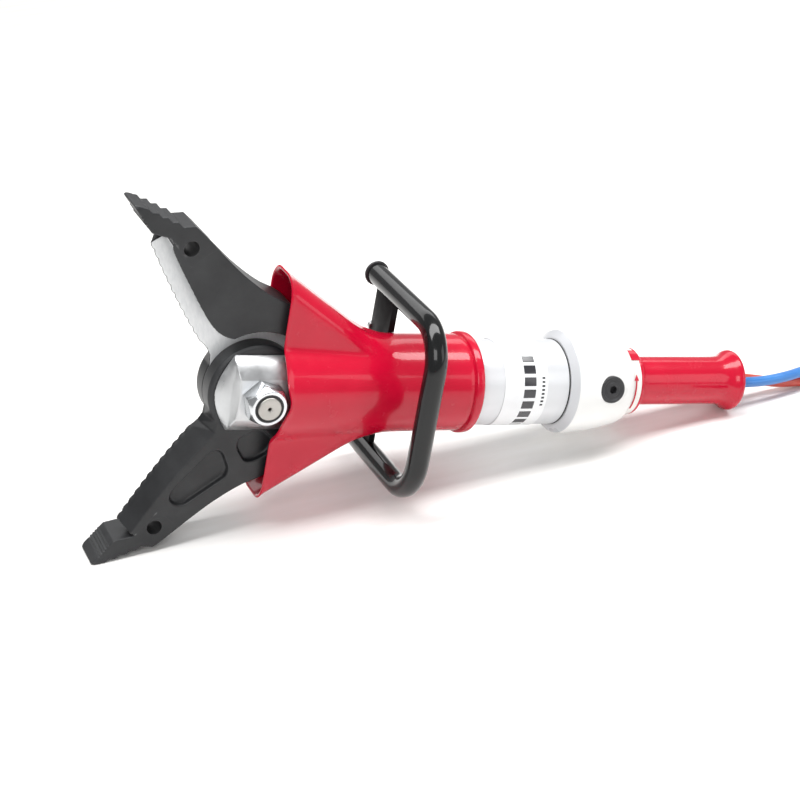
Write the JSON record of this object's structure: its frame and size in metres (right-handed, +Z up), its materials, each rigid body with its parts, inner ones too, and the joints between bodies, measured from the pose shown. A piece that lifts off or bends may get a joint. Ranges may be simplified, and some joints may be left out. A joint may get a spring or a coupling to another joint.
{
  "type": "rescue spreader",
  "caption": "Hand-held hydraulic combination rescue tool: two hinged arms that spread and cut, flared guard, cylinder, loop handle, twist grip and twin hoses.",
  "frame": {"origin": "middle of the tool's footprint, hoses left out, on the ground that it rests on", "axes": "+Z up, +X from the jaws towards the rear grip, Y along the pivot bolt with its nut on the -Y side; the tool axis falls 12.2 degrees towards the grip"},
  "size_m": [0.9094, 0.2414, 0.345],
  "materials": {
    "red_gloss": "glossy bright red enamel",
    "black_steel": "black painted forged steel, satin",
    "satin_steel": "satin plated steel",
    "bright_steel": "bright plated steel",
    "grey_aluminium": "pale grey anodised aluminium",
    "white_gloss": "white gloss enamel",
    "black_rubber": "black rubber, satin",
    "bronze": "machined bronze",
    "label": "printed white film",
    "blue_hose": "glossy blue hose cover",
    "red_hose": "glossy red hose cover",
    "black_gloss": "black gloss coating on steel tube"
  },
  "bodies": {
    "frame": {"pivot_bolt": "satin_steel", "pivot_nut": "bright_steel", "pivot_washer": "satin_steel", "nut_seal_ring": "black_rubber", "pivot_fork": "satin_steel", "cylinder_barrel": "grey_aluminium", "label_band": "label", "rod_seal": "black_rubber", "guard_shroud": "red_gloss", "carry_handle": "black_gloss", "handle_end_cap_top": "black_rubber", "handle_post_top": "black_steel", "handle_bolt_top": "satin_steel", "handle_end_cap_bottom": "black_rubber", "handle_post_bottom": "black_steel", "handle_bolt_bottom": "satin_steel", "control_body": "white_gloss", "collar_seal_ring": "black_rubber", "valve_plug": "black_rubber", "return_spring": "bright_steel", "handle_collar": "white_gloss", "twist_mark_arrow": "red_gloss", "twist_mark_band": "red_gloss", "grip_core_tube": "satin_steel", "grip_retainer": "bright_steel", "hose_grommet": "black_rubber", "hose_blue": "blue_hose", "hose_blue_ferrule": "satin_steel", "hose_blue_coupler": "bright_steel", "hose_blue_dust_cap": "black_rubber", "hose_red": "red_hose", "hose_red_ferrule": "satin_steel", "hose_red_coupler": "bright_steel", "hose_red_dust_cap": "black_rubber"},
    "upper_jaw": {"upper_arm": "black_steel", "upper_tip": "black_steel", "upper_tip_pin": "bright_steel", "upper_lug_pin": "bright_steel", "upper_arm_bush": "bronze"},
    "lower_jaw": {"lower_arm": "black_steel", "lower_tip": "black_steel", "lower_tip_pin": "bright_steel", "lower_lug_pin": "bright_steel", "lower_arm_bush": "bronze"},
    "piston_assembly": {"piston_rod": "bright_steel", "piston": "grey_aluminium", "piston_seal": "black_rubber", "piston_nut": "satin_steel", "rod_yoke": "black_steel", "upper_yoke_pin": "bright_steel", "lower_yoke_pin": "bright_steel"},
    "upper_link": {"upper_link": "black_steel"},
    "lower_link": {"lower_link": "black_steel"},
    "grip": {"twist_grip": "red_gloss", "rotary_valve_sleeve": "bronze"},
    "blue_lock": {"hose_blue_lock_sleeve": "satin_steel"},
    "red_lock": {"hose_red_lock_sleeve": "satin_steel"}
  },
  "joints": [
    {"name": "upper_jaw_close", "type": "hinge", "parent": "frame", "child": "upper_jaw", "pos_m": [-0.17988, 0.00945, 0.14374], "axis": [0, -1, 0], "range_deg": [0, 51]},
    {"name": "lower_jaw_close", "type": "hinge", "parent": "frame", "child": "lower_jaw", "pos_m": [-0.17988, 0.00945, 0.14374], "axis": [0, 1, 0], "range_deg": [0, 51]},
    {"name": "piston_stroke", "type": "slide", "parent": "frame", "child": "piston_assembly", "axis": [-0.9774, 0, 0.2113], "range_m": [0, 0.0369]},
    {"name": "upper_link_swing", "type": "hinge", "parent": "piston_assembly", "child": "upper_link", "pos_m": [-0.08156, 0.00945, 0.13681], "axis": [0, 1, 0], "range_deg": [0, 23.9]},
    {"name": "lower_link_swing", "type": "hinge", "parent": "piston_assembly", "child": "lower_link", "pos_m": [-0.08747, 0.00945, 0.10944], "axis": [0, -1, 0], "range_deg": [0, 23.9]},
    {"name": "grip_twist", "type": "hinge", "parent": "frame", "child": "grip", "pos_m": [0.26973, 0.00945, 0.04653], "axis": [0.9774, 0, -0.2113], "range_deg": [-25, 25], "stiffness_Nm_per_rad": 4},
    {"name": "blue_lock_pull", "type": "slide", "parent": "frame", "child": "blue_lock", "axis": [1, 0, 0], "range_m": [0, 0.0045], "stiffness_N_per_m": 900},
    {"name": "red_lock_pull", "type": "slide", "parent": "frame", "child": "red_lock", "axis": [1, 0, 0], "range_m": [0, 0.0045], "stiffness_N_per_m": 900}
  ],
  "couplings": [
    {"joint": "lower_jaw_close", "follows": "upper_jaw_close", "ratio": 1},
    {"joint": "piston_stroke", "follows": "upper_jaw_close", "m_per_rad": 0.04137},
    {"joint": "upper_link_swing", "follows": "upper_jaw_close", "ratio": 0.468},
    {"joint": "lower_link_swing", "follows": "upper_jaw_close", "ratio": 0.468}
  ]
}
